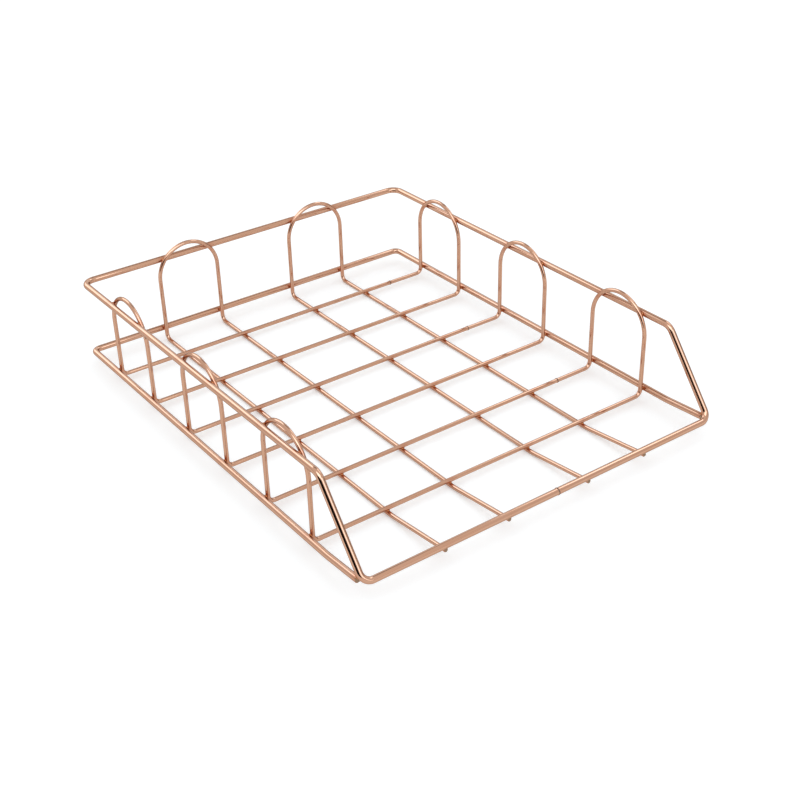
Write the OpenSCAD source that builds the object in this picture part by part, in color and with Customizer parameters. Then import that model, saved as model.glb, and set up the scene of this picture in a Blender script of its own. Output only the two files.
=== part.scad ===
// Wire letter tray: two heavy wire frames, three closed cross loops and two long hairpins, welded together.
// X runs across the tray, Y towards its back and Z up. The origin is the middle of the footprint, on the table.

/* [Wire] */
// Diameter of the heavy wire of the rim and base frames
heavy_d = 4.1; // [3.4:0.1:5]
// Diameter of the thin wire of the loops and hairpins
thin_d = 2.7; // [2.2:0.1:3.2]

/* [Frames] */
// Width over the heavy frames
tray_w = 254; // [236:1:290]
// Depth from the face of the front bar to the back of the frames
tray_d = 317.5; // [305:0.5:360]
// Height of the rim above the base frame, between wire centres
rim_rise = 49.8; // [40:0.1:70]
// Height of the front bar above the base frame, between wire centres
front_rise = 2; // [1.5:0.1:5]
// How far the front slopes run back from the front bar to the rim
slope_run = 36.5; // [28:0.5:50]
// Bend radius of the rim's two back corners, at the wire centre
rim_bend_r = 7.5; // [5:0.5:12]
// Bend radius of the base frame's two back corners, at the wire centre
base_bend_r = 4.5; // [3:0.5:10]
// Bend radius where the rim turns down into the slopes, at the wire centre
slope_bend_r = 8; // [5:0.5:12]
// Bend radius of the rim frame's two front corners, at the wire centre
front_bend_r = 6; // [4:0.5:9]
// Distance from the front bar's centre back to the cut ends of the base frame
base_setback = 5; // [4.5:0.25:8]
// Length of the base frame's front ends that is bent up to meet the rim's front corners
base_end_run = 28; // [20:1:40]
// How far those ends stay below the front bar, between wire centres
base_end_drop = 0.3; // [0:0.1:1]

/* [Floor and arches] */
// How far the cross wires lie below the base frame, between wire centres
floor_drop = 4.2; // [3.5:0.1:8]
// Height of the arch tops above the rim, between wire centres
arch_rise = 8.3; // [4:0.1:12]
// Width of a cross loop, between its two wires
loop_w = 45.2; // [36:0.1:50]
// Space between neighbouring cross loops, between wire centres
loop_gap = 45.2; // [30:0.1:50]
// Distance from the frames' back wires to the rearmost cross wire
rear_bay = 35; // [28:0.5:40]
// Width of a hairpin, between its two wires
hairpin_w = 43.5; // [34:0.1:50]
// Distance between the middles of the two hairpins
hairpin_pitch = 101.5; // [80:0.5:120]
// Bend radius where loops and hairpins turn up into the walls, at the wire centre
leg_bend_r = 4; // [3:0.25:5]
// Radius of the gentle upward bends of the long wires and of the base frame's ends, at the wire centre
kink_r = 40; // [20:5:80]
// Distance from the front cross wire to the long wires' upward bend
kink_ahead = 4; // [3:0.5:10]
// How far the long wires' cut ends stop behind the face of the front bar
tip_back = 2; // [0:0.25:2.5]

/* [Welds] */
// Gap between two wires at a weld, bridged by the weld metal
weld_gap = 0.2; // [0.15:0.05:0.5]
// Clearance between the weld metal and the wires, so that each stays a solid of its own
weld_clear = 0.03; // [0.02:0.01:0.05]
// Diameter of the weld spots between two thin wires
floor_weld_d = 2.2; // [1.6:0.1:2.6]
// Diameter of the weld spots between a thin and a heavy wire
frame_weld_d = 2.4; // [1.8:0.1:2.6]
// Diameter of the weld beads that join the base frame's ends to the front corners
corner_weld_d = 3; // [2.8:0.1:3.6]
// How far the upset ring of a butt weld stands out from its wire
seam_out = 0.25; // [0.1:0.05:0.5]
// Length of the upset ring of a butt weld
seam_len = 0.9; // [0.5:0.1:2]
// Distance of the rim's butt weld from the tray's middle, along the front bar
rim_seam_x = 5; // [0:1:80]
// Distance of the loops' butt welds from their right legs, along their rear cross wires
loop_seam_in = 28.5; // [12:0.5:40]

/* [Hidden] */
$fn = 48;
// The weld spots are small and hollowed, so their curves are drawn finer
weld_fn = 160;

// The ball that joins a sloping length of wire to its bend: how far it stands out, and the gap that it closes
knuckle_out = 0.02;
knuckle_gap = 0.05;

frame_colour = "#C9946F";
thin_colour = "#C39A7D";
weld_colour = "#9C6A4B";

// Rounds a length to a thousandth of a millimetre, so that lengths which add up also meet
function snap(length) = round(length * 1000) / 1000;

// Distances between wire centres where two wires are welded
thin_thin = thin_d + weld_gap;
thin_heavy = (thin_d + heavy_d) / 2 + weld_gap;

// Heights of the wire centres
long_z = snap(thin_d / 2);
cross_z = snap(long_z + thin_thin);
base_z = snap(cross_z + floor_drop);
front_z = snap(base_z + front_rise);
rim_z = snap(base_z + rim_rise);
arch_z = snap(rim_z + arch_rise);

// Places of the heavy wires' centres
side_x = snap((tray_w - heavy_d) / 2);
back_y = snap((tray_d - heavy_d) / 2);
front_y = -back_y;

// Places of the thin wires' centres
leg_x = snap(side_x - thin_heavy);
leg_y = snap(back_y - thin_heavy);
loop_r = snap(loop_w / 2);
loop_mid_ys = [for (i = [0 : 2]) snap(back_y - rear_bay - loop_r - i * (loop_w + loop_gap))];
cross_ys = [for (mid = loop_mid_ys, side = [1, -1]) mid + side * loop_r];
hairpin_r = snap(hairpin_w / 2);
hairpin_mid_xs = [for (side = [-1, 1]) side * snap(hairpin_pitch / 2)];
long_xs = [for (mid = hairpin_mid_xs, side = [-1, 1]) mid + side * hairpin_r];
loop_spring_z = arch_z - loop_r;
hairpin_spring_z = arch_z - hairpin_r;

// The front slopes, in the plane of the slopes and the front bar
slope_angle = atan2(rim_z - front_z, slope_run);
slope_len = norm([rim_z - front_z, slope_run]);
slope_tangent = snap(slope_bend_r * tan(slope_angle / 2));
slope_top = snap(slope_len - slope_tangent);

// The long wires bend up so that they pass close under the front bar
kink_y = min(cross_ys) - kink_ahead;
to_bar = [kink_y - front_y, front_z - long_z];
kink_angle = atan2(to_bar.y, to_bar.x) - asin(thin_heavy / norm(to_bar));
tip_y = front_y - heavy_d / 2 + tip_back + thin_d / 2 * sin(kink_angle);
tip_len = snap((kink_y - tip_y) / cos(kink_angle));
bar_foot_len = norm(to_bar) * cos(asin(thin_heavy / norm(to_bar)));
bar_weld_len = min(bar_foot_len, tip_len - frame_weld_d / 2);

// The base frame's ends bend up to the rim's front corners
base_end_y = snap(front_y + base_setback);
base_end_z = snap(front_z - base_end_drop);
base_end_angle = atan2(base_end_z - base_z, base_end_run);
base_end_len = snap(norm([base_end_z - base_z, base_end_run]));

// Where the arches cross the rim, measured from the arch's middle
loop_rim_out = sqrt(pow(loop_r, 2) - pow(rim_z - loop_spring_z, 2));
hairpin_rim_out = sqrt(pow(hairpin_r, 2) - pow(rim_z - hairpin_spring_z, 2));

// Straight wire along X, Y or Z from a point
module wire_x(from, len, d) { translate(from) rotate([0, 90, 0]) cylinder(d = d, h = len); }
module wire_y(from, len, d) { translate(from) rotate([-90, 0, 0]) cylinder(d = d, h = len); }
module wire_z(from, len, d) { translate(from) cylinder(d = d, h = len); }

// Bent wire around a centre, from a start angle, in the named plane
module bend_xy(centre, r, start, angle, d) {
    translate(centre) rotate([0, 0, start]) rotate_extrude(angle = angle) translate([r, 0]) circle(d = d);
}
module bend_xz(centre, r, start, angle, d) {
    translate(centre) rotate([90, 0, 0]) bend_xy([0, 0, 0], r, start, angle, d);
}
module bend_yz(centre, r, start, angle, d) {
    translate(centre) rotate([90, 0, 90]) bend_xy([0, 0, 0], r, start, angle, d);
}

// Joins a sloping length of wire along Y to its bend: a ball a hair wider than the wire, around both ends
module knuckle(at, d) { translate(at) rotate([90, 0, 0]) sphere(d = d + 2 * knuckle_out); }

// Length that a gentle upward bend takes from the straight wire on each side of it
function rise_tangent(angle) = snap(kink_r * tan(angle / 2));

// The front end of a wire along Y that bends up gently at a point: the bend and the sloping length to the cut end
module rising_end(at, angle, len, d) {
    tangent = rise_tangent(angle);
    translate(at) rotate([-angle, 0, 0]) {
        wire_y([0, -len, 0], len - tangent - knuckle_gap, d);
        knuckle([0, -tangent, 0], d);
    }
    translate(at + [0, tangent, kink_r]) mirror([0, 1, 0]) bend_yz([0, 0, 0], kink_r, -90, angle, d);
}

// Draws its children on the right and, mirrored, on the left
module both_sides() {
    children();
    mirror([1, 0, 0]) children();
}

// Moves its children into the plane of the slopes: Y runs up the slope from the front bar
module on_slope() { translate([0, front_y, front_z]) rotate([slope_angle, 0, 0]) children(); }

// Front corner bend and slope wire of the right side, as far as the corner weld meets them
module rim_front_right(d) {
    on_slope() {
        bend_xy([side_x - front_bend_r, front_bend_r, 0], front_bend_r, -90, 90, d);
        wire_y([side_x, front_bend_r, 0], slope_top - knuckle_gap - front_bend_r, d);
    }
}

module rim_frame() {
    top_front_y = front_y + slope_run + slope_tangent;
    top_len = back_y - rim_bend_r - top_front_y;
    color(frame_colour) union() {
        on_slope() wire_x([front_bend_r - side_x, 0, 0], 2 * (side_x - front_bend_r), heavy_d);
        wire_x([rim_bend_r - side_x, back_y, rim_z], 2 * (side_x - rim_bend_r), heavy_d);
        both_sides() {
            rim_front_right(heavy_d);
            on_slope() knuckle([side_x, slope_top, 0], heavy_d);
            bend_yz([side_x, top_front_y, rim_z - slope_bend_r], slope_bend_r, 90, slope_angle, heavy_d);
            wire_y([side_x, top_front_y, rim_z], top_len, heavy_d);
            bend_xy([side_x - rim_bend_r, back_y - rim_bend_r, rim_z], rim_bend_r, 0, 90, heavy_d);
        }
    }
}

// One side of the base frame's U, from its cut end to its back corner
module base_side(d) {
    rise_y = base_end_y + base_end_run;
    flat_from = rise_y + rise_tangent(base_end_angle);
    rising_end([side_x, rise_y, base_z], base_end_angle, base_end_len, d);
    wire_y([side_x, flat_from, base_z], back_y - base_bend_r - flat_from, d);
}

module base_frame() {
    color(frame_colour) union() {
        wire_x([base_bend_r - side_x, back_y, base_z], 2 * (side_x - base_bend_r), heavy_d);
        both_sides() {
            base_side(heavy_d);
            bend_xy([side_x - base_bend_r, back_y - base_bend_r, base_z], base_bend_r, 0, 90, heavy_d);
        }
    }
}

// Arch of a cross loop on the right wall
module loop_arch_right(mid_y, d) {
    bend_yz([leg_x, mid_y, loop_spring_z], loop_r, 0, 180, d);
}

module cross_loop(mid_y) {
    leg_foot_z = cross_z + leg_bend_r;
    color(thin_colour) union() {
        for (side = [-1, 1]) {
            y = mid_y + side * loop_r;
            wire_x([leg_bend_r - leg_x, y, cross_z], 2 * (leg_x - leg_bend_r), thin_d);
            both_sides() {
                bend_xz([leg_x - leg_bend_r, y, leg_foot_z], leg_bend_r, -90, 90, thin_d);
                wire_z([leg_x, y, leg_foot_z], loop_spring_z - leg_foot_z, thin_d);
            }
        }
        both_sides() loop_arch_right(mid_y, thin_d);
    }
}
module cross_loop_rear() { cross_loop(loop_mid_ys[0]); }
module cross_loop_middle() { cross_loop(loop_mid_ys[1]); }
module cross_loop_front() { cross_loop(loop_mid_ys[2]); }

// The front end of a long wire, from its upward bend to its cut end
module long_tip(x, d) { rising_end([x, kink_y, long_z], kink_angle, tip_len, d); }

module long_wire(x, d) {
    flat_from = kink_y + rise_tangent(kink_angle);
    foot_y = leg_y - leg_bend_r;
    foot_z = long_z + leg_bend_r;
    long_tip(x, d);
    wire_y([x, flat_from, long_z], foot_y - flat_from, d);
    bend_yz([x, foot_y, foot_z], leg_bend_r, -90, 90, d);
    wire_z([x, leg_y, foot_z], hairpin_spring_z - foot_z, d);
}

// Arch of a hairpin on the back wall
module hairpin_arch(mid_x, d) {
    bend_xz([mid_x, leg_y, hairpin_spring_z], hairpin_r, 0, 180, d);
}

module long_hairpin(mid_x) {
    color(thin_colour) union() {
        for (side = [-1, 1]) long_wire(mid_x + side * hairpin_r, thin_d);
        hairpin_arch(mid_x, thin_d);
    }
}
module long_hairpin_left() { long_hairpin(hairpin_mid_xs[0]); }
module long_hairpin_right() { long_hairpin(hairpin_mid_xs[1]); }

// A weld spot on Z, long enough to reach both wires from the middle of their gap
module weld_spot(d) { cylinder(d = d, h = thin_d, center = true); }

// Diameters of the hollows that the wires leave in the weld metal
thin_hollow = thin_d + 2 * weld_clear;
heavy_hollow = heavy_d + 2 * weld_clear;

module floor_grid_welds() {
    $fn = weld_fn;
    color(weld_colour) for (x = long_xs, y = cross_ys) difference() {
        translate([x, y, (long_z + cross_z) / 2]) weld_spot(floor_weld_d);
        wire_x([x - thin_d, y, cross_z], 2 * thin_d, thin_hollow);
        wire_y([x, y - thin_d, long_z], 2 * thin_d, thin_hollow);
    }
}

module front_bar_welds() {
    $fn = weld_fn;
    color(weld_colour) for (x = long_xs) difference() {
        translate([x, kink_y, long_z]) rotate([-kink_angle, 0, 0])
            translate([0, -bar_weld_len, (thin_d + weld_gap) / 2]) weld_spot(frame_weld_d);
        wire_x([x - thin_d, front_y, front_z], 2 * thin_d, heavy_hollow);
        long_tip(x, thin_hollow);
    }
}

// A weld spot on the side walls: its middle lies in the gap between leg and frame
module side_weld_spot(y, z) {
    translate([(leg_x + side_x + (thin_d - heavy_d) / 2) / 2, y, z]) rotate([0, 90, 0]) weld_spot(frame_weld_d);
}

// A weld spot on the back wall
module back_weld_spot(x, z) {
    translate([x, (leg_y + back_y + (thin_d - heavy_d) / 2) / 2, z]) rotate([90, 0, 0]) weld_spot(frame_weld_d);
}

module base_side_welds() {
    $fn = weld_fn;
    color(weld_colour) both_sides() for (y = cross_ys) difference() {
        side_weld_spot(y, base_z);
        wire_y([side_x, y - thin_d, base_z], 2 * thin_d, heavy_hollow);
        wire_z([leg_x, y, base_z - thin_d], 2 * thin_d, thin_hollow);
    }
}

module base_back_welds() {
    $fn = weld_fn;
    color(weld_colour) for (x = long_xs) difference() {
        back_weld_spot(x, base_z);
        wire_x([x - thin_d, back_y, base_z], 2 * thin_d, heavy_hollow);
        wire_z([x, leg_y, base_z - thin_d], 2 * thin_d, thin_hollow);
    }
}

module rim_side_welds() {
    $fn = weld_fn;
    color(weld_colour) both_sides() for (mid_y = loop_mid_ys, side = [-1, 1]) difference() {
        y = mid_y + side * loop_rim_out;
        side_weld_spot(y, rim_z);
        wire_y([side_x, y - thin_d, rim_z], 2 * thin_d, heavy_hollow);
        loop_arch_right(mid_y, thin_hollow);
    }
}

module rim_back_welds() {
    $fn = weld_fn;
    color(weld_colour) for (mid_x = hairpin_mid_xs, side = [-1, 1]) difference() {
        x = mid_x + side * hairpin_rim_out;
        back_weld_spot(x, rim_z);
        wire_x([x - thin_d, back_y, rim_z], 2 * thin_d, heavy_hollow);
        hairpin_arch(mid_x, thin_hollow);
    }
}

// How far a corner bead's middle lies ahead of the base frame's cut end, as a share of its diameter
bead_ahead = 0.15;

module corner_welds() {
    bead_y = base_end_y - bead_ahead * corner_weld_d;
    bead_z = base_end_z + heavy_d / 2;
    color(weld_colour) both_sides() difference() {
        translate([side_x, bead_y, bead_z]) sphere(d = corner_weld_d);
        translate([0, -weld_clear, 0]) base_side(heavy_hollow);
        rim_front_right(heavy_hollow);
    }
}

// The upset ring of a butt weld around a wire that runs along X
module butt_ring(centre, d) {
    difference() {
        wire_x(centre - [seam_len / 2, 0, 0], seam_len, d + 2 * seam_out);
        wire_x(centre - [seam_len, 0, 0], 2 * seam_len, d + 2 * weld_clear);
    }
}

module rim_butt_weld() { color(weld_colour) butt_ring([rim_seam_x, front_y, front_z], heavy_d); }

module loop_butt_welds() {
    seam_x = leg_x - loop_seam_in;
    color(weld_colour) for (mid_y = loop_mid_ys) butt_ring([seam_x, mid_y + loop_r, cross_z], thin_d);
}

rim_frame();
base_frame();
cross_loop_rear();
cross_loop_middle();
cross_loop_front();
long_hairpin_left();
long_hairpin_right();
floor_grid_welds();
front_bar_welds();
corner_welds();
base_side_welds();
base_back_welds();
rim_side_welds();
rim_back_welds();
rim_butt_weld();
loop_butt_welds();
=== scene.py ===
"""Looks of the wire letter tray: plated wires, their welds and the studio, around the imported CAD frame.

X runs across the tray, Y towards its back and Z up; lengths are in metres.
"""
import math

import bmesh
import bpy
from mathutils import Matrix, Vector, noise


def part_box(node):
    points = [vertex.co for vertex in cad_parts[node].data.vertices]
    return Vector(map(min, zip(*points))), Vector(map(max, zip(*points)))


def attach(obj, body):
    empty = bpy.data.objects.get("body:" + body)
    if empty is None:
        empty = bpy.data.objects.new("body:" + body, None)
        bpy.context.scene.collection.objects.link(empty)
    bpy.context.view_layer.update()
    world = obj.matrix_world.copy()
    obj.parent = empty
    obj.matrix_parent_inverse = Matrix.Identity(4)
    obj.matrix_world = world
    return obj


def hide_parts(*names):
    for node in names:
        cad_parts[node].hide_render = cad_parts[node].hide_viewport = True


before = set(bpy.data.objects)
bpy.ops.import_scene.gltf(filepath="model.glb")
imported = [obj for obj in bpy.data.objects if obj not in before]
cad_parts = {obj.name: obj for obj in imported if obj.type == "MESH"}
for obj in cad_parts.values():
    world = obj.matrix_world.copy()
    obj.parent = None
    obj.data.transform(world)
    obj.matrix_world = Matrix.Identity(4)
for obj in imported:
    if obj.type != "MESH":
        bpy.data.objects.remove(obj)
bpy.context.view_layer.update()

bl_info = {
    "name": "Wire Letter Tray",
    "version": (1, 0, 0),
    "blender": (4, 5, 0),
    "location": "3D View > Sidebar > Letter Tray",
    "description": "Builds a copper-plated wire letter tray from bent and welded wires",
    "category": "Object",
}

MM = 0.001
QUARTER_TURN = math.pi / 2
X_AXIS = Vector((1, 0, 0))
Y_AXIS = Vector((0, 1, 0))
Z_AXIS = Vector((0, 0, 1))
WHITE = (1, 1, 1, 1)

# Vertex attributes that the materials read
PLACE_LAYER = "drawn_place"
HEAT_AND_SHADE_LAYER = "weld_heat_and_shade"
CUT_AND_SHADE_LAYER = "cut_end_and_shade"
GROOVE_AND_SHADE_LAYER = "seam_groove_and_shade"

# Faces around a wire, and around and along a weld spot
HEAVY_SIDES = 32
THIN_SIDES = 24
SPOT_SIDES = 20
SPOT_RINGS = 12
# Longest stretch of a straight wire between two rings of vertices
RING_STEP = 2.0 * MM
# Largest turn of a bend between two rings of vertices
BEND_STEP = math.radians(6)
# Vertices of a closed wire's two ends that are this near become one
MERGE_LIMIT = 0.02 * MM
# How far a wire may stand from the CAD node that it replaces
PLACE_LIMIT = 0.4 * MM

# Rounding of a cut end's edge, and its faces
CUT_ROUND = 0.25 * MM
CUT_STEPS = 3
# Height of a weld spot, as a share of its width
SPOT_HEIGHT = 0.5
# Width of a corner bead and its place in front of the base frame's end, as shares of its diameter
BEAD_WIDTH = 0.9
BEAD_AHEAD = 0.15
# Lumps of weld metal: their size, and how far they stand out as a share of the spot's radius
LUMP_SIZE = 0.9 * MM
LUMP_HEIGHT = 0.12
# Section of a butt weld's ring, in shares of its half length and of its height: two crests and a groove
SEAM_SECTION = ((-1.0, -0.1), (-0.8, 0.5), (-0.6, 0.9), (-0.45, 0.5), (0, 0.1),
                (0.45, 0.55), (0.6, 1.0), (0.8, 0.6), (1.0, -0.1))
# The groove's share of the ring's half length
GROOVE_SHARE = 0.5

# Heat tint, which also paints the crossings' shade, is full up to the near distance from a weld's middle and
# gone at the far one
HEAT_NEAR = 1.2 * MM
HEAT_FAR = 6.0 * MM
# Power by which it falls off in between, and the share of the tint that it gives in full
HEAT_FALL = 1.6
HEAT_AND_SHADE_SHARE = 0.5
# The drawing die's lines are hundredths of a millimetre wide; they are drawn coarser so that they show
LINE_WIDTH = 0.3 * MM
LINE_DEPTH = 0.01 * MM
# How fast the lines change along the wire, as a share of how fast they change across it
LINE_STRETCH = 0.012
# Length over which the plating's tint changes
TINT_DRIFT = 25 * MM
# Roughness of the plating between its smoothest and its roughest lines, and what dull metal adds to it
POLISH_FINE = 0.04
POLISH_COARSE = 0.09
DULLNESS = 0.35
# Weld metal freezes in grains of about half a millimetre
GRAIN_SIZE = 0.5 * MM
GRAIN_DEPTH = 0.05 * MM


def linear(hex_colour):
    """Linear RGBA of an sRGB hex colour."""
    channels = [int(hex_colour[i:i + 2], 16) / 255 for i in (1, 3, 5)]
    return [c / 12.92 if c <= 0.04045 else ((c + 0.055) / 1.055) ** 2.4 for c in channels] + [1.0]


def length_prop(name, millimetres, description):
    """A length that a user can change."""
    return bpy.props.FloatProperty(
        name=name, description=description, default=millimetres * MM, min=0,
        unit="LENGTH", subtype="DISTANCE", precision=5)


def colour_prop(name, hex_colour, description):
    """A colour that a user can change."""
    return bpy.props.FloatVectorProperty(
        name=name, description=description, default=linear(hex_colour), size=4,
        min=0, max=1, subtype="COLOR")


class TraySizes(bpy.types.PropertyGroup):
    """Sizes of the wires and where they run; the same as in the CAD model."""

    heavy_d: length_prop("Heavy wire", 4.1, "Diameter of the wire of the rim and base frames")
    thin_d: length_prop("Thin wire", 2.7, "Diameter of the wire of the loops and hairpins")
    tray_w: length_prop("Width", 254, "Width over the heavy frames")
    tray_d: length_prop("Depth", 317.5, "Depth from the face of the front bar to the back")
    rim_rise: length_prop("Rim height", 49.8, "Height of the rim above the base frame")
    front_rise: length_prop("Front bar height", 2, "Height of the front bar above the base frame")
    slope_run: length_prop("Slope run", 36.5, "How far the front slopes run back to the rim")
    rim_bend_r: length_prop("Rim corners", 7.5, "Bend radius of the rim's back corners")
    base_bend_r: length_prop("Base corners", 4.5, "Bend radius of the base frame's back corners")
    slope_bend_r: length_prop("Slope bends", 8, "Bend radius where the rim turns down")
    front_bend_r: length_prop("Front corners", 6, "Bend radius of the rim frame's front corners")
    base_setback: length_prop("Base setback", 5, "Distance from the front bar to the base frame's ends")
    base_end_run: length_prop("Base ends", 28, "Length of the base frame's ends that is bent up")
    base_end_drop: length_prop("Base end drop", 0.3, "How far those ends stay below the front bar")
    floor_drop: length_prop("Floor drop", 4.2, "How far the cross wires lie below the base frame")
    arch_rise: length_prop("Arch rise", 8.3, "Height of the arch tops above the rim")
    loop_w: length_prop("Loop width", 45.2, "Width of a cross loop between its two wires")
    loop_gap: length_prop("Loop gap", 45.2, "Space between neighbouring cross loops")
    rear_bay: length_prop("Rear bay", 35, "Distance from the frames' back to the rearmost cross wire")
    hairpin_w: length_prop("Hairpin width", 43.5, "Width of a hairpin between its two wires")
    hairpin_pitch: length_prop("Hairpin pitch", 101.5, "Distance between the middles of the hairpins")
    leg_bend_r: length_prop("Leg bends", 4, "Bend radius where the thin wires turn up into the walls")
    kink_r: length_prop("Kink radius", 40, "Radius of the gentle upward bends near the front")
    kink_ahead: length_prop("Kink place", 4, "Distance from the front cross wire to the long wires' bend")
    tip_back: length_prop("Tips", 2, "How far the long wires' ends stop behind the front bar's face")
    weld_gap: length_prop("Weld gap", 0.2, "Gap between two wires, bridged by weld metal")
    spot_d: length_prop("Weld spots", 2.6, "Width of the weld metal squeezed out at a crossing")
    corner_weld_d: length_prop("Corner beads", 3, "Diameter of the beads at the base frame's ends")
    seam_out: length_prop("Seam height", 0.25, "How far a butt weld's ring stands out from its wire")
    seam_len: length_prop("Seam length", 0.9, "Length of a butt weld's ring")
    rim_seam_x: length_prop("Rim seam", 5, "Distance of the rim's butt weld from the middle")
    loop_seam_in: length_prop("Loop seams", 28.5, "Distance of the loops' butt welds from their right legs")

    @property
    def thin_heavy(self):
        """Between the middles of a thin and a heavy wire that are welded together."""
        return (self.thin_d + self.heavy_d) / 2 + self.weld_gap

    @property
    def long_z(self):
        return self.thin_d / 2

    @property
    def cross_z(self):
        return self.long_z + self.thin_d + self.weld_gap

    @property
    def base_z(self):
        return self.cross_z + self.floor_drop

    @property
    def front_z(self):
        return self.base_z + self.front_rise

    @property
    def rim_z(self):
        return self.base_z + self.rim_rise

    @property
    def arch_z(self):
        return self.rim_z + self.arch_rise

    @property
    def side_x(self):
        return (self.tray_w - self.heavy_d) / 2

    @property
    def back_y(self):
        return (self.tray_d - self.heavy_d) / 2

    @property
    def front_y(self):
        return -self.back_y

    @property
    def leg_x(self):
        return self.side_x - self.thin_heavy

    @property
    def leg_y(self):
        return self.back_y - self.thin_heavy

    @property
    def loop_r(self):
        return self.loop_w / 2

    @property
    def loop_mids(self):
        """Middles of the three cross loops, from the back."""
        pitch = self.loop_w + self.loop_gap
        return [self.back_y - self.rear_bay - self.loop_r - i * pitch for i in range(3)]

    @property
    def cross_ys(self):
        return [mid + side * self.loop_r for mid in self.loop_mids for side in (1, -1)]

    @property
    def hairpin_r(self):
        return self.hairpin_w / 2

    @property
    def hairpin_mids(self):
        return [-self.hairpin_pitch / 2, self.hairpin_pitch / 2]

    @property
    def long_xs(self):
        return [mid + side * self.hairpin_r for mid in self.hairpin_mids for side in (-1, 1)]

    @property
    def loop_seam_x(self):
        return self.leg_x - self.loop_seam_in

    @property
    def slope_angle(self):
        return math.atan2(self.rim_z - self.front_z, self.slope_run)

    @property
    def slope_tangent(self):
        """From the corner of a slope bend to where its arc starts."""
        return self.slope_bend_r * math.tan(self.slope_angle / 2)

    @property
    def kink_y(self):
        return min(self.cross_ys) - self.kink_ahead

    @property
    def to_bar(self):
        """From a long wire's kink to the front bar, along the wire and up."""
        return Vector((self.kink_y - self.front_y, self.front_z - self.long_z))

    @property
    def kink_angle(self):
        """Rise of a long wire's end that takes it close under the front bar."""
        return math.atan2(self.to_bar.y, self.to_bar.x) - math.asin(self.thin_heavy / self.to_bar.length)

    @property
    def kink_tangent(self):
        return self.kink_r * math.tan(self.kink_angle / 2)

    @property
    def tip_len(self):
        """From a long wire's kink to its cut end."""
        face_y = self.front_y - self.heavy_d / 2 + self.tip_back
        tip_y = face_y + self.thin_d / 2 * math.sin(self.kink_angle)
        return (self.kink_y - tip_y) / math.cos(self.kink_angle)

    @property
    def base_end(self):
        """Middle of the base frame's cut end on the right."""
        return Vector((self.side_x, self.front_y + self.base_setback, self.front_z - self.base_end_drop))


class TrayFinish(bpy.types.PropertyGroup):
    """Colours of the tray and its studio."""

    plate: colour_prop("Copper plate", "#C59A83", "Colour of the polished plating")
    plate_warm: colour_prop("Warm plate", "#C8997B", "Colour where the plating is thinner and more orange")
    edge: colour_prop("Plate edge", "#BBAFA8", "Tint of the plating where it is seen at a flat angle")
    # Heat tint near the welds; its red-brown also paints the shade and copper inter-reflection at the
    # crossings
    heat_tint_and_shade: colour_prop("Heat tint", "#B05F3A", "Colour of the plating over a weld's heated metal")
    weld: colour_prop("Weld metal", "#BF8A5B", "Colour of the weld metal under the plating")
    # Cut faces: dull cut metal, darker also as painted shade of the tips under the front bar
    cut: colour_prop("Cut ends", "#947961", "Colour of the wires' cut faces, where the plating is dull")
    # Dark scale in the butt weld's groove, darker also as painted shade of the notch
    groove: colour_prop("Seam groove", "#2A1D16", "Colour of the groove in a butt weld, dark with scale")
    paper: colour_prop("Paper sweep", "#F0F4F6", "Colour of the studio's floor")
    softbox: colour_prop("Softboxes", "#E4F2FF", "Colour of the softboxes, a cool white")


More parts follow.
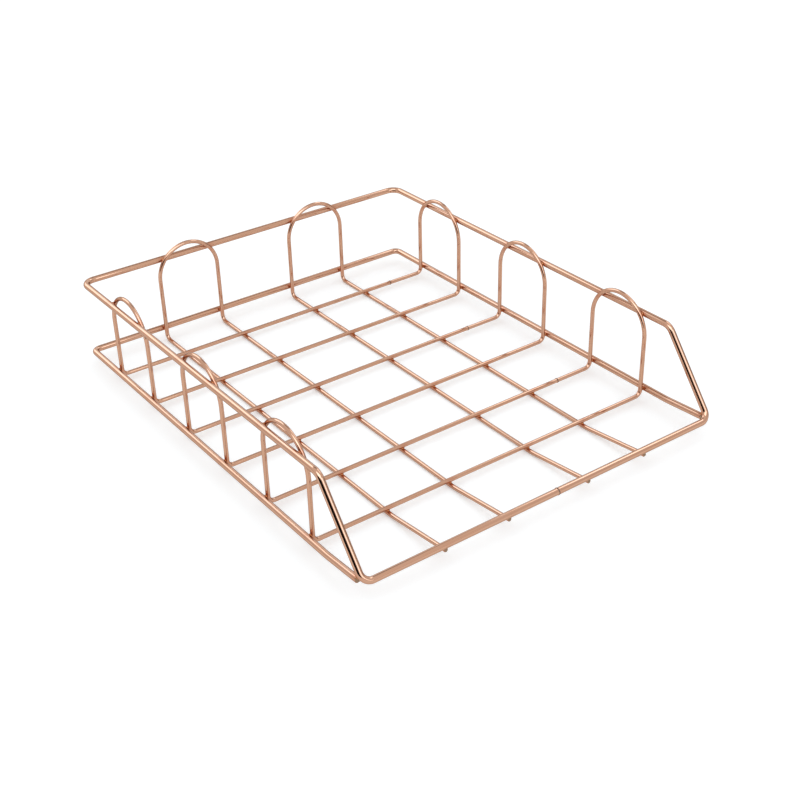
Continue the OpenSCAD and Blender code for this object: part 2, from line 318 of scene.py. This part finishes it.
class Wire:
    """A round wire made as a bending machine makes it: fed straight and bent, from end to end."""

    def __init__(self, start, heading, diameter, sides):
        self.bm = bmesh.new()
        self.place = self.bm.verts.layers.float_vector.new(PLACE_LAYER)
        self.cut_end_and_shade = self.bm.verts.layers.float.new(CUT_AND_SHADE_LAYER)
        self.at = Vector(start)
        self.heading = heading.normalized()
        self.along = 0.0
        verts = bmesh.ops.create_circle(self.bm, segments=sides, radius=diameter / 2)["verts"]
        for vert in verts:
            vert[self.place] = vert.co
        turn = Z_AXIS.rotation_difference(self.heading).to_matrix()
        bmesh.ops.rotate(self.bm, verts=verts, cent=(0, 0, 0), matrix=turn)
        bmesh.ops.translate(self.bm, verts=verts, vec=self.at)
        self.ring = list(self.bm.edges)
        self.first_ring = self.ring

    def _advance(self, geometry, length):
        """Takes the new end ring and notes how far along the wire it is."""
        self.along += length
        self.ring = [item for item in geometry if isinstance(item, bmesh.types.BMEdge)]
        for vert in {vert for edge in self.ring for vert in edge.verts}:
            vert[self.place].z = self.along

    def feed(self, length):
        """Straight wire of that length."""
        old = {vert for edge in self.ring for vert in edge.verts}
        grown = bmesh.ops.extrude_edge_only(self.bm, edges=self.ring)["geom"]
        verts = [item for item in grown if isinstance(item, bmesh.types.BMVert)]
        new = set(verts)
        bmesh.ops.translate(self.bm, verts=verts, vec=self.heading * length)
        edges = [item for item in grown if isinstance(item, bmesh.types.BMEdge)]
        self._advance([edge for edge in edges if set(edge.verts) <= new], length)
        sides = [edge for vert in verts for edge in vert.link_edges if edge.other_vert(vert) in old]
        cuts = math.ceil(length / RING_STEP) - 1
        if cuts > 0:
            bmesh.ops.subdivide_edges(self.bm, edges=sides, cuts=cuts, use_grid_fill=True)
        self.at += self.heading * length
        return self

    def bend(self, towards, radius, angle):
        """Bend of that radius and angle, towards a direction across the wire."""
        inward = (towards - self.heading * towards.dot(self.heading)).normalized()
        centre = self.at + inward * radius
        axis = self.heading.cross(inward)
        steps = math.ceil(angle / BEND_STEP)
        for _ in range(steps):
            spun = bmesh.ops.spin(
                self.bm, geom=self.ring, cent=centre, axis=axis, angle=angle / steps, steps=1,
                use_merge=False, use_duplicate=False)
            self._advance(spun["geom_last"], radius * angle / steps)
        turn = Matrix.Rotation(angle, 3, axis)
        self.at = centre + turn @ (self.at - centre)
        self.heading = turn @ self.heading
        return self

    def close(self):
        """Joins the last end to the first, for a ring that is butt welded."""
        # A dictionary holds each vertex once and, unlike a set, keeps their order
        ends = dict.fromkeys(vert for edge in self.ring + self.first_ring for vert in edge.verts)
        bmesh.ops.remove_doubles(self.bm, verts=list(ends), dist=MERGE_LIMIT)
        return self

    def cut(self):
        """Finishes both ends as a cutter leaves them: a small rounded edge around a flat face."""
        for ring in (self.first_ring, self.ring):
            bmesh.ops.contextual_create(self.bm, geom=ring)
            bmesh.ops.bevel(
                self.bm, geom=ring, offset=CUT_ROUND, offset_type="OFFSET", affect="EDGES",
                segments=CUT_STEPS, profile=0.5, material=-1)
        # Only the flat faces of the ends have more than four corners; their darker colour is dull cut metal
        # and also painted shade of the tips
        for face in self.bm.faces:
            if len(face.verts) > 4:
                for vert in face.verts:
                    vert[self.cut_end_and_shade] = 1.0
        return self


def heat_and_shade_from(bm, spots):
    """Stores how near each vertex is to a weld, 1 on the weld and 0 past the heated length: the mask of the
    heat tint, which also paints the crossings' shade.
    """
    layer = bm.verts.layers.float.new(HEAT_AND_SHADE_LAYER)
    for vert in bm.verts:
        distance = min((vert.co - spot).length for spot in spots)
        share = max(0.0, min(1.0, (HEAT_FAR - distance) / (HEAT_FAR - HEAT_NEAR)))
        vert[layer] = share ** HEAT_FALL


def weld_spots(sizes):
    """The welded crossings: for each CAD node, the direction across the gap and the places of its spots."""

    def half_width(arch_r):
        """Half the width of an arch at the height of the rim."""
        return math.sqrt(arch_r ** 2 - (sizes.rim_z - sizes.arch_z + arch_r) ** 2)

    sides = (-1, 1)
    long_xs = sizes.long_xs
    cross_ys = sizes.cross_ys
    rim_xs = [mid + side * half_width(sizes.hairpin_r) for mid in sizes.hairpin_mids for side in sides]
    rim_ys = [mid + side * half_width(sizes.loop_r) for mid in sizes.loop_mids for side in sides]
    gap_shift = (sizes.thin_d - sizes.heavy_d) / 2
    wall_x = (sizes.leg_x + sizes.side_x + gap_shift) / 2
    wall_y = (sizes.leg_y + sizes.back_y + gap_shift) / 2
    wall_xs = (-wall_x, wall_x)
    floor_z = (sizes.long_z + sizes.cross_z) / 2
    to_bar = math.sqrt(sizes.to_bar.length_squared - sizes.thin_heavy ** 2)
    reach = min(to_bar, sizes.tip_len - sizes.spot_d / 2)
    tilt = Matrix.Rotation(-sizes.kink_angle, 3, "X")
    bar_spot = tilt @ Vector((0, -reach, (sizes.thin_d + sizes.weld_gap) / 2))
    bar_y = sizes.kink_y + bar_spot.y
    bar_z = sizes.long_z + bar_spot.z
    return {
        "floor_grid_welds": (Z_AXIS, [Vector((x, y, floor_z)) for x in long_xs for y in cross_ys]),
        "front_bar_welds": (tilt @ Z_AXIS, [Vector((x, bar_y, bar_z)) for x in long_xs]),
        "base_side_welds": (X_AXIS, [Vector((x, y, sizes.base_z)) for x in wall_xs for y in cross_ys]),
        "base_back_welds": (Y_AXIS, [Vector((x, wall_y, sizes.base_z)) for x in long_xs]),
        "rim_side_welds": (X_AXIS, [Vector((x, y, sizes.rim_z)) for x in wall_xs for y in rim_ys]),
        "rim_back_welds": (Y_AXIS, [Vector((x, wall_y, sizes.rim_z)) for x in rim_xs]),
    }


def corner_spots(sizes):
    """Places of the beads between the base frame's ends and the rim's front corners."""
    bead_y = sizes.base_end.y - BEAD_AHEAD * sizes.corner_weld_d
    bead_z = sizes.base_end.z + sizes.heavy_d / 2
    return [Vector((side * sizes.side_x, bead_y, bead_z)) for side in (-1, 1)]


def rim_seam(sizes):
    """Place of the rim's butt weld, in the front bar."""
    return Vector((sizes.rim_seam_x, sizes.front_y, sizes.front_z))


def loop_seams(sizes):
    """Places of the cross loops' butt welds, each in its loop's back floor wire."""
    return [Vector((sizes.loop_seam_x, mid + sizes.loop_r, sizes.cross_z)) for mid in sizes.loop_mids]


def heat_and_shade_spots(sizes):
    """Every crossing and corner where welding has tinted a wire and where that tint also paints the shade
    between the wires.
    """
    spots = [spot for _, places in weld_spots(sizes).values() for spot in places]
    return spots + corner_spots(sizes)


def add_node(tree, kind, inputs=None, **settings):
    """Adds a node with its settings; an input is a value, or another node's output to link from."""
    node = tree.nodes.new(kind)
    for name, value in settings.items():
        setattr(node, name, value)
    for socket, value in (inputs or {}).items():
        if isinstance(value, bpy.types.NodeSocket):
            tree.links.new(value, node.inputs[socket])
        else:
            node.inputs[socket].default_value = value
    return node


def new_material(name):
    """An empty node material and its tree."""
    material = bpy.data.materials.new(name)
    material.use_nodes = True
    material.node_tree.nodes.clear()
    return material, material.node_tree


def blend(tree, share, first, second):
    """Output of a mix of two colours, each a colour or another node's output."""
    # The mix node keeps its colour sockets after those for numbers and vectors
    return add_node(tree, "ShaderNodeMix", {0: share, 6: first, 7: second}, data_type="RGBA").outputs[2]


def plated_wire(finish):
    """Bright drawn steel wire with polished copper plating under clear lacquer.

    The eye sees a rose-orange mirror, a little blurred, with faint lines along the wire from the drawing
    die, slow changes between rose and orange, a red-brown tint where the welds heated it, which also
    paints the shade and copper inter-reflection at the crossings, dull cut ends whose darker colour also
    paints the tips' shade, and a dark groove in each butt weld whose scale colour also paints its shade.
    """
    name = "polished_copper_plate"
    if name in bpy.data.materials:
        return bpy.data.materials[name]
    material, tree = new_material(name)
    place = add_node(tree, "ShaderNodeAttribute", attribute_name=PLACE_LAYER)
    heat = add_node(tree, "ShaderNodeAttribute", attribute_name=HEAT_AND_SHADE_LAYER)
    cut = add_node(tree, "ShaderNodeAttribute", attribute_name=CUT_AND_SHADE_LAYER)
    groove = add_node(tree, "ShaderNodeAttribute", attribute_name=GROOVE_AND_SHADE_LAYER)
    where = add_node(tree, "ShaderNodeTexCoord")
    # The place on the drawn wire runs along it in Z, so squeezing Z stretches the noise into lines
    lines_at = add_node(tree, "ShaderNodeMapping", {
        "Vector": place.outputs["Vector"], "Scale": (1, 1, LINE_STRETCH)})
    lines = add_node(tree, "ShaderNodeTexNoise", {
        "Vector": lines_at.outputs["Vector"], "Scale": 1 / LINE_WIDTH, "Detail": 2.0, "Roughness": 0.6})
    drift = add_node(tree, "ShaderNodeTexNoise", {
        "Vector": where.outputs["Object"], "Scale": 1 / TINT_DRIFT, "Detail": 2.0})
    tint = blend(tree, drift.outputs["Fac"], tuple(finish.plate), tuple(finish.plate_warm))
    heat_and_shade_share = add_node(tree, "ShaderNodeMath", {
        0: heat.outputs["Fac"], 1: HEAT_AND_SHADE_SHARE}, operation="MULTIPLY")
    # Near the welds the heat tint also paints the crossings' shade and copper inter-reflection
    heated = blend(tree, heat_and_shade_share.outputs[0], tint, tuple(finish.heat_tint_and_shade))
    # Cut faces get the darker cut colour, partly painted shade of the tips
    with_ends = blend(tree, cut.outputs["Fac"], heated, tuple(finish.cut))
    # The groove's dark colour is scale and also painted shade of the notch
    colour = blend(tree, groove.outputs["Fac"], with_ends, tuple(finish.groove))
    # Most of the noise lies between 0.3 and 0.7
    polish = add_node(tree, "ShaderNodeMapRange", {
        "Value": lines.outputs["Fac"], "From Min": 0.3, "From Max": 0.7,
        "To Min": POLISH_FINE, "To Max": POLISH_COARSE})
    dull = add_node(tree, "ShaderNodeMath", {
        0: cut.outputs["Fac"], 1: groove.outputs["Fac"]}, operation="MAXIMUM")
    rough = add_node(tree, "ShaderNodeMath", {
        0: dull.outputs[0], 1: DULLNESS, 2: polish.outputs["Result"]}, operation="MULTIPLY_ADD")
    bump = add_node(tree, "ShaderNodeBump", {
        "Height": lines.outputs["Fac"], "Strength": 0.25, "Distance": LINE_DEPTH})
    shader = add_node(tree, "ShaderNodeBsdfPrincipled", {
        "Base Color": colour, "Specular Tint": tuple(finish.edge), "Metallic": 1.0,
        "Roughness": rough.outputs[0], "Normal": bump.outputs["Normal"],
        "Coat Weight": 0.2, "Coat Roughness": 0.05})
    add_node(tree, "ShaderNodeOutputMaterial", {"Surface": shader.outputs["BSDF"]})
    return material


def weld_metal(finish):
    """Resistance-weld metal under the same plating, squeezed out of the crossing.

    The eye sees small red-brown lumps, uneven and duller than the wire.
    """
    name = "plated_weld_metal"
    if name in bpy.data.materials:
        return bpy.data.materials[name]
    material, tree = new_material(name)
    where = add_node(tree, "ShaderNodeTexCoord")
    grains = add_node(tree, "ShaderNodeTexNoise", {
        "Vector": where.outputs["Object"], "Scale": 1 / GRAIN_SIZE, "Detail": 3.0})
    # The darker grains take the heat tint, which also paints the crossings' shade
    tint = blend(tree, grains.outputs["Fac"], tuple(finish.heat_tint_and_shade), tuple(finish.weld))
    rough = add_node(tree, "ShaderNodeMapRange", {
        "Value": grains.outputs["Fac"], "To Min": 0.2, "To Max": 0.45})
    bump = add_node(tree, "ShaderNodeBump", {
        "Height": grains.outputs["Fac"], "Strength": 0.4, "Distance": GRAIN_DEPTH})
    shader = add_node(tree, "ShaderNodeBsdfPrincipled", {
        "Base Color": tint, "Metallic": 1.0, "Roughness": rough.outputs["Result"],
        "Normal": bump.outputs["Normal"]})
    add_node(tree, "ShaderNodeOutputMaterial", {"Surface": shader.outputs["BSDF"]})
    return material


def make_piece(bm, name, node, material):
    """Turns a bmesh into the finished piece that stands for a CAD node."""
    bmesh.ops.recalc_face_normals(bm, faces=bm.faces)
    mesh = bpy.data.meshes.new(name)
    bm.to_mesh(mesh)
    bm.free()
    mesh.materials.append(material)
    piece = bpy.data.objects.new(name, mesh)
    bpy.context.scene.collection.objects.link(piece)
    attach(piece, "root")
    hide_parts(node)
    return piece


def check_place(piece, node):
    """Stops the script if a wire doesn't lie where the CAD node lies that it replaces."""
    low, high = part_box(node)
    for axis in range(3):
        reach = [vert.co[axis] for vert in piece.data.vertices]
        off = max(abs(min(reach) - low[axis]), abs(max(reach) - high[axis]))
        if off > PLACE_LIMIT:
            raise RuntimeError(f"{piece.name} is {off / MM:.2f} mm off {node} on axis {axis}")


def make_wire(wire, name, node, scene):
    """Finishes a wire: heat tint and painted crossing shade near its welds, smooth sides, flat cut faces and
    its plating.
    """
    heat_and_shade_from(wire.bm, heat_and_shade_spots(scene.tray_sizes))
    for face in wire.bm.faces:
        face.smooth = len(face.verts) == 4
    piece = make_piece(wire.bm, name, node, plated_wire(scene.tray_finish))
    check_place(piece, node)


def make_welds(bm, node, material):
    """Finishes the welds of a CAD node, smooth all over."""
    for face in bm.faces:
        face.smooth = True
    make_piece(bm, f"{node}_metal", node, material)


class TRAY_OT_rim_frame(bpy.types.Operator):
    """Bend the rim frame: one heavy wire from its butt weld in the front bar round the whole tray."""

    bl_idname = "tray.rim_frame"
    bl_label = "Rim Frame"

    def execute(self, context):
        s = context.scene.tray_sizes
        up_slope = Vector((0, math.cos(s.slope_angle), math.sin(s.slope_angle)))
        slope_len = math.hypot(s.slope_run, s.rim_z - s.front_z) - s.slope_tangent - s.front_bend_r
        side_len = s.back_y - s.rim_bend_r - (s.front_y + s.slope_run + s.slope_tangent)
        bar_half = s.side_x - s.front_bend_r
        wire = Wire(rim_seam(s), X_AXIS, s.heavy_d, HEAVY_SIDES)
        wire.feed(bar_half - s.rim_seam_x).bend(up_slope, s.front_bend_r, QUARTER_TURN).feed(slope_len)
        wire.bend(Y_AXIS, s.slope_bend_r, s.slope_angle).feed(side_len)
        wire.bend(-X_AXIS, s.rim_bend_r, QUARTER_TURN).feed(2 * (s.side_x - s.rim_bend_r))
        wire.bend(-Y_AXIS, s.rim_bend_r, QUARTER_TURN).feed(side_len)
        wire.bend(-Z_AXIS, s.slope_bend_r, s.slope_angle).feed(slope_len)
        wire.bend(X_AXIS, s.front_bend_r, QUARTER_TURN).feed(bar_half + s.rim_seam_x).close()
        make_wire(wire, "rim_frame_wire", "rim_frame", context.scene)
        return {"FINISHED"}


class TRAY_OT_base_frame(bpy.types.Operator):
    """Bend the base frame: one heavy wire in a U with two cut ends at the front."""

    bl_idname = "tray.base_frame"
    bl_label = "Base Frame"

    def execute(self, context):
        s = context.scene.tray_sizes
        down = Vector((0, s.base_end_run, s.base_z - s.base_end.z))
        rise = math.atan2(-down.z, down.y)
        tangent = s.kink_r * math.tan(rise / 2)
        end_len = down.length - tangent
        side_len = s.back_y - s.base_bend_r - (s.base_end.y + s.base_end_run + tangent)
        wire = Wire(s.base_end, down, s.heavy_d, HEAVY_SIDES)
        wire.feed(end_len).bend(Z_AXIS, s.kink_r, rise).feed(side_len)
        wire.bend(-X_AXIS, s.base_bend_r, QUARTER_TURN).feed(2 * (s.side_x - s.base_bend_r))
        wire.bend(-Y_AXIS, s.base_bend_r, QUARTER_TURN).feed(side_len)
        wire.bend(Z_AXIS, s.kink_r, rise).feed(end_len).cut()
        make_wire(wire, "base_frame_wire", "base_frame", context.scene)
        return {"FINISHED"}


class TRAY_OT_cross_loops(bpy.types.Operator):
    """Bend the three closed cross loops: floor wires, legs and side arches of one thin wire each."""

    bl_idname = "tray.cross_loops"
    bl_label = "Cross Loops"

    def execute(self, context):
        s = context.scene.tray_sizes
        leg_len = s.arch_z - s.loop_r - s.cross_z - s.leg_bend_r
        floor_half = s.leg_x - s.leg_bend_r
        for place, seam in zip(("rear", "middle", "front"), loop_seams(s)):
            wire = Wire(seam, X_AXIS, s.thin_d, THIN_SIDES)
            wire.feed(floor_half - s.loop_seam_x).bend(Z_AXIS, s.leg_bend_r, QUARTER_TURN).feed(leg_len)
            wire.bend(-Y_AXIS, s.loop_r, math.pi).feed(leg_len).bend(-X_AXIS, s.leg_bend_r, QUARTER_TURN)
            wire.feed(2 * floor_half).bend(Z_AXIS, s.leg_bend_r, QUARTER_TURN).feed(leg_len)
            wire.bend(Y_AXIS, s.loop_r, math.pi).feed(leg_len).bend(X_AXIS, s.leg_bend_r, QUARTER_TURN)
            wire.feed(floor_half + s.loop_seam_x).close()
            make_wire(wire, f"cross_loop_{place}_wire", f"cross_loop_{place}", context.scene)
        return {"FINISHED"}


class TRAY_OT_long_hairpins(bpy.types.Operator):
    """Bend the two long hairpins: floor wires, back legs and a back arch of one thin wire each."""

    bl_idname = "tray.long_hairpins"
    bl_label = "Long Hairpins"

    def execute(self, context):
        s = context.scene.tray_sizes
        slope = Vector((0, math.cos(s.kink_angle), -math.sin(s.kink_angle)))
        tip = Vector((0, s.kink_y, s.long_z)) - slope * s.tip_len
        tip_len = s.tip_len - s.kink_tangent
        floor_len = s.leg_y - s.leg_bend_r - s.kink_y - s.kink_tangent
        leg_len = s.arch_z - s.hairpin_r - s.long_z - s.leg_bend_r
        for side, mid in zip(("left", "right"), s.hairpin_mids):
            start = tip + X_AXIS * (mid - s.hairpin_r)
            wire = Wire(start, slope, s.thin_d, THIN_SIDES)
            wire.feed(tip_len).bend(Z_AXIS, s.kink_r, s.kink_angle).feed(floor_len)
            wire.bend(Z_AXIS, s.leg_bend_r, QUARTER_TURN).feed(leg_len)
            wire.bend(X_AXIS, s.hairpin_r, math.pi).feed(leg_len)
            wire.bend(-Y_AXIS, s.leg_bend_r, QUARTER_TURN).feed(floor_len)
            wire.bend(Z_AXIS, s.kink_r, s.kink_angle).feed(tip_len).cut()
            make_wire(wire, f"long_hairpin_{side}_wire", f"long_hairpin_{side}", context.scene)
        return {"FINISHED"}


def squeezed_spot(bm, place, across, width, height):
    """Weld metal squeezed out of a crossing: a flattened uneven bead around the gap between two wires."""
    # A ball of radius 0.5 is one metre wide, so its scale is its size
    ball = bmesh.ops.create_uvsphere(bm, u_segments=SPOT_SIDES, v_segments=SPOT_RINGS, radius=0.5)
    verts = ball["verts"]
    bmesh.ops.scale(bm, verts=verts, vec=(width, width, height))
    turn = Z_AXIS.rotation_difference(across).to_matrix()
    bmesh.ops.rotate(bm, verts=verts, cent=(0, 0, 0), matrix=turn)
    for vert in verts:
        uneven = noise.noise(vert.co / LUMP_SIZE + place / MM)
        vert.co *= 1 + LUMP_HEIGHT * uneven
    bmesh.ops.translate(bm, verts=verts, vec=place)


class TRAY_OT_crossing_welds(bpy.types.Operator):
    """Make the welds at the crossings: one spot of squeezed-out metal for each."""

    bl_idname = "tray.crossing_welds"
    bl_label = "Crossing Welds"

    def execute(self, context):
        s = context.scene.tray_sizes
        for node, (across, places) in weld_spots(s).items():
            bm = bmesh.new()
            for place in places:
                squeezed_spot(bm, place, across, s.spot_d, SPOT_HEIGHT * s.spot_d)
            make_welds(bm, node, weld_metal(context.scene.tray_finish))
        return {"FINISHED"}


class TRAY_OT_corner_welds(bpy.types.Operator):
    """Make the beads that join the base frame's ends to the rim's front corners."""

    bl_idname = "tray.corner_welds"
    bl_label = "Corner Welds"

    def execute(self, context):
        s = context.scene.tray_sizes
        bm = bmesh.new()
        for place in corner_spots(s):
            squeezed_spot(bm, place, Y_AXIS, BEAD_WIDTH * s.corner_weld_d, s.corner_weld_d)
        make_welds(bm, "corner_welds", weld_metal(context.scene.tray_finish))
        return {"FINISHED"}


def upset_ring(bm, place, diameter, sizes):
    """The ring pressed out by a butt weld, around a wire along X, with a dark groove where the ends met."""
    others = set(bm.verts)
    groove = bm.verts.layers.float.get(GROOVE_AND_SHADE_LAYER) or bm.verts.layers.float.new(GROOVE_AND_SHADE_LAYER)
    half = sizes.seam_len / 2
    wire_r = diameter / 2
    verts = [bm.verts.new((along * half, 0, wire_r + up * sizes.seam_out)) for along, up in SEAM_SECTION]
    # The groove's vertices get the dark colour, partly painted shade of the notch
    for vert, (along, _) in zip(verts, SEAM_SECTION):
        vert[groove] = 1.0 if abs(along) < GROOVE_SHARE else 0.0
    edges = [bm.edges.new(pair) for pair in zip(verts[:-1], verts[1:])]
    bmesh.ops.spin(
        bm, geom=verts + edges, cent=(0, 0, 0), axis=X_AXIS, angle=2 * math.pi, steps=HEAVY_SIDES,
        use_merge=True, use_duplicate=False)
    bmesh.ops.translate(bm, verts=[vert for vert in bm.verts if vert not in others], vec=place)


class TRAY_OT_butt_welds(bpy.types.Operator):
    """Make the rings where the ends of the closed wires are butt welded."""

    bl_idname = "tray.butt_welds"
    bl_label = "Butt Welds"

    def execute(self, context):
        s = context.scene.tray_sizes
        groups = (("rim_butt_weld", [rim_seam(s)], s.heavy_d), ("loop_butt_welds", loop_seams(s), s.thin_d))
        for node, places, diameter in groups:
            bm = bmesh.new()
            for place in places:
                upset_ring(bm, place, diameter, s)
            make_welds(bm, node, plated_wire(context.scene.tray_finish))
        return {"FINISHED"}


class TRAY_OT_stage(bpy.types.Operator):
    """Set up the studio: camera, paper sweep, even light, and softboxes and flags that the metal mirrors."""

    bl_idname = "tray.stage"
    bl_label = "Studio"

    # The camera looks from the front left: its turn about Z, its height above the horizon and its roll
    azimuth = math.radians(-35.521)
    elevation = math.radians(31.179)
    roll = math.radians(-1.557)
    place = Vector((-0.41163, -0.59402, 0.43375))
    # Focal length and sensor width in millimetres, and the nearest distance that is drawn, in metres
    lens = 59.868
    sensor_w = 36
    near_clip = 0.01

    # Half the paper's side, and the white that it gives by itself to the camera and to reflections
    paper_half = 6
    paper_glow = 0.22

    # Name, azimuth and elevation in degrees, distance, width and height in metres, and brightness,
    # where 1 is white and a softbox is brighter
    studio_cards = (
        ("back_softbox", 103, 34, 1.6, 0.85, 1.05, 3.1),
        ("front_softbox", -84, 32, 1.6, 0.75, 0.75, 3.2),
        ("front_top_softbox", -134, 57, 1.6, 1.5, 0.9, 3.6),
        ("right_softbox", 9, 49, 1.6, 0.75, 0.38, 3.4),
        ("back_right_softbox", 57, 25, 1.6, 1.1, 0.75, 1.5),
        ("front_left_flag", -148, 17, 0.9, 1.0, 0.52, 0.01),
        ("back_right_flag", 44, -1, 1.6, 0.55, 0.45, 0.05),
        ("back_left_flag", 145, 10, 1.6, 0.75, 0.75, 0.85),
        ("front_right_flag", -42, 31, 1.6, 0.7, 0.75, 0.85),
        ("right_flag", -18, 9, 1.6, 0.8, 0.5, 0.2),
        ("ceiling_flag", 54, 57, 1.6, 0.6, 0.5, 0.15),
    )

    def execute(self, context):
        scene = context.scene
        scene.view_settings.view_transform = "Standard"
        self.camera(scene)
        self.floor(scene)
        self.light(scene)
        self.cards(scene)
        return {"FINISHED"}

    def camera(self, scene):
        data = bpy.data.cameras.new("camera")
        data.lens = self.lens
        data.sensor_width = self.sensor_w
        data.clip_start = self.near_clip
        camera = bpy.data.objects.new("camera", data)
        tilt = Matrix.Rotation(QUARTER_TURN - self.elevation, 4, "X")
        turn = Matrix.Rotation(self.azimuth, 4, "Z") @ tilt
        camera.matrix_world = Matrix.Translation(self.place) @ turn @ Matrix.Rotation(self.roll, 4, "Z")
        scene.collection.objects.link(camera)
        scene.camera = camera

    def floor(self, scene):
        bm = bmesh.new()
        bmesh.ops.create_grid(bm, x_segments=1, y_segments=1, size=self.paper_half)
        mesh = bpy.data.meshes.new("paper_sweep")
        bm.to_mesh(mesh)
        bm.free()
        floor = bpy.data.objects.new("paper_sweep", mesh)
        scene.collection.objects.link(floor)
        # Matt seamless paper; a share of its white is its own for the camera and for reflections
        material, tree = new_material("seamless_paper")
        paper = add_node(tree, "ShaderNodeBsdfDiffuse", {"Color": tuple(scene.tray_finish.paper)})
        glow = add_node(tree, "ShaderNodeEmission", {
            "Color": (self.paper_glow, self.paper_glow, self.paper_glow, 1),
            "Strength": self.seen_rays(tree)})
        both = add_node(tree, "ShaderNodeAddShader", {0: paper.outputs[0], 1: glow.outputs[0]})
        add_node(tree, "ShaderNodeOutputMaterial", {"Surface": both.outputs[0]})
        mesh.materials.append(material)

    def seen_rays(self, tree):
        """1 for rays from the camera and for reflected and transmitted ones, 0 for the others."""
        path = add_node(tree, "ShaderNodeLightPath")
        first = add_node(tree, "ShaderNodeMath", {
            0: path.outputs["Is Camera Ray"], 1: path.outputs["Is Glossy Ray"]}, operation="MAXIMUM")
        both = add_node(tree, "ShaderNodeMath", {
            0: first.outputs[0], 1: path.outputs["Is Transmission Ray"]}, operation="MAXIMUM")
        return both.outputs[0]

    def light(self, scene):
        world = bpy.data.worlds.new("studio")
        scene.world = world
        world.use_nodes = True
        tree = world.node_tree
        tree.nodes.clear()
        sky = add_node(tree, "ShaderNodeBackground", {"Color": WHITE, "Strength": 1.0})
        add_node(tree, "ShaderNodeOutputWorld", {"Surface": sky.outputs[0]})

    def cards(self, scene):
        """Softboxes and dark cards around the tray; only the polished metal sees them, as its lines."""
        for name, azimuth, elevation, distance, width, height, level in self.studio_cards:
            bm = bmesh.new()
            # A grid of size 0.5 is one metre wide, so its scale is its size
            bmesh.ops.create_grid(bm, x_segments=1, y_segments=1, size=0.5)
            bmesh.ops.scale(bm, verts=bm.verts, vec=(width, height, 1))
            bmesh.ops.transform(bm, verts=bm.verts, matrix=self.facing(azimuth, elevation, distance))
            mesh = bpy.data.meshes.new(name)
            bm.to_mesh(mesh)
            bm.free()
            card = bpy.data.objects.new(name, mesh)
            scene.collection.objects.link(card)
            card.visible_camera = False
            card.visible_diffuse = False
            card.visible_shadow = False
            material, tree = new_material(name)
            colour = tuple(scene.tray_finish.softbox) if level > 1 else WHITE
            glow = add_node(tree, "ShaderNodeEmission", {"Color": colour, "Strength": level})
            add_node(tree, "ShaderNodeOutputMaterial", {"Surface": glow.outputs[0]})
            mesh.materials.append(material)

    def facing(self, azimuth, elevation, distance):
        """Place and turn of a card that faces the tray; the azimuth is measured from +X towards +Y."""
        a = math.radians(azimuth)
        e = math.radians(elevation)
        away = Vector((math.cos(e) * math.cos(a), math.cos(e) * math.sin(a), math.sin(e)))
        turn = (-away).to_track_quat("-Z", "Y").to_matrix().to_4x4()
        return Matrix.Translation(away * distance) @ turn


class TRAY_PT_panel(bpy.types.Panel):
    """Sizes, colours and steps of the letter tray."""

    bl_idname = "TRAY_PT_panel"
    bl_label = "Wire Letter Tray"
    bl_space_type = "VIEW_3D"
    bl_region_type = "UI"
    bl_category = "Letter Tray"

    def draw(self, context):
        column = self.layout.column()
        for group in (context.scene.tray_sizes, context.scene.tray_finish):
            for name in group.__annotations__:
                column.prop(group, name)
        for operator in OPERATORS:
            column.operator(operator.bl_idname)


OPERATORS = (
    TRAY_OT_stage, TRAY_OT_rim_frame, TRAY_OT_base_frame, TRAY_OT_cross_loops, TRAY_OT_long_hairpins,
    TRAY_OT_crossing_welds, TRAY_OT_corner_welds, TRAY_OT_butt_welds)
CLASSES = (TraySizes, TrayFinish, *OPERATORS, TRAY_PT_panel)


def register():
    for cls in CLASSES:
        bpy.utils.register_class(cls)
    bpy.types.Scene.tray_sizes = bpy.props.PointerProperty(type=TraySizes)
    bpy.types.Scene.tray_finish = bpy.props.PointerProperty(type=TrayFinish)


def unregister():
    del bpy.types.Scene.tray_finish
    del bpy.types.Scene.tray_sizes
    for cls in reversed(CLASSES):
        bpy.utils.unregister_class(cls)


def main():
    register()
    bpy.ops.tray.stage()
    bpy.ops.tray.rim_frame()
    bpy.ops.tray.base_frame()
    bpy.ops.tray.cross_loops()
    bpy.ops.tray.long_hairpins()
    bpy.ops.tray.crossing_welds()
    bpy.ops.tray.corner_welds()
    bpy.ops.tray.butt_welds()


if __name__ == "__main__":
    main()
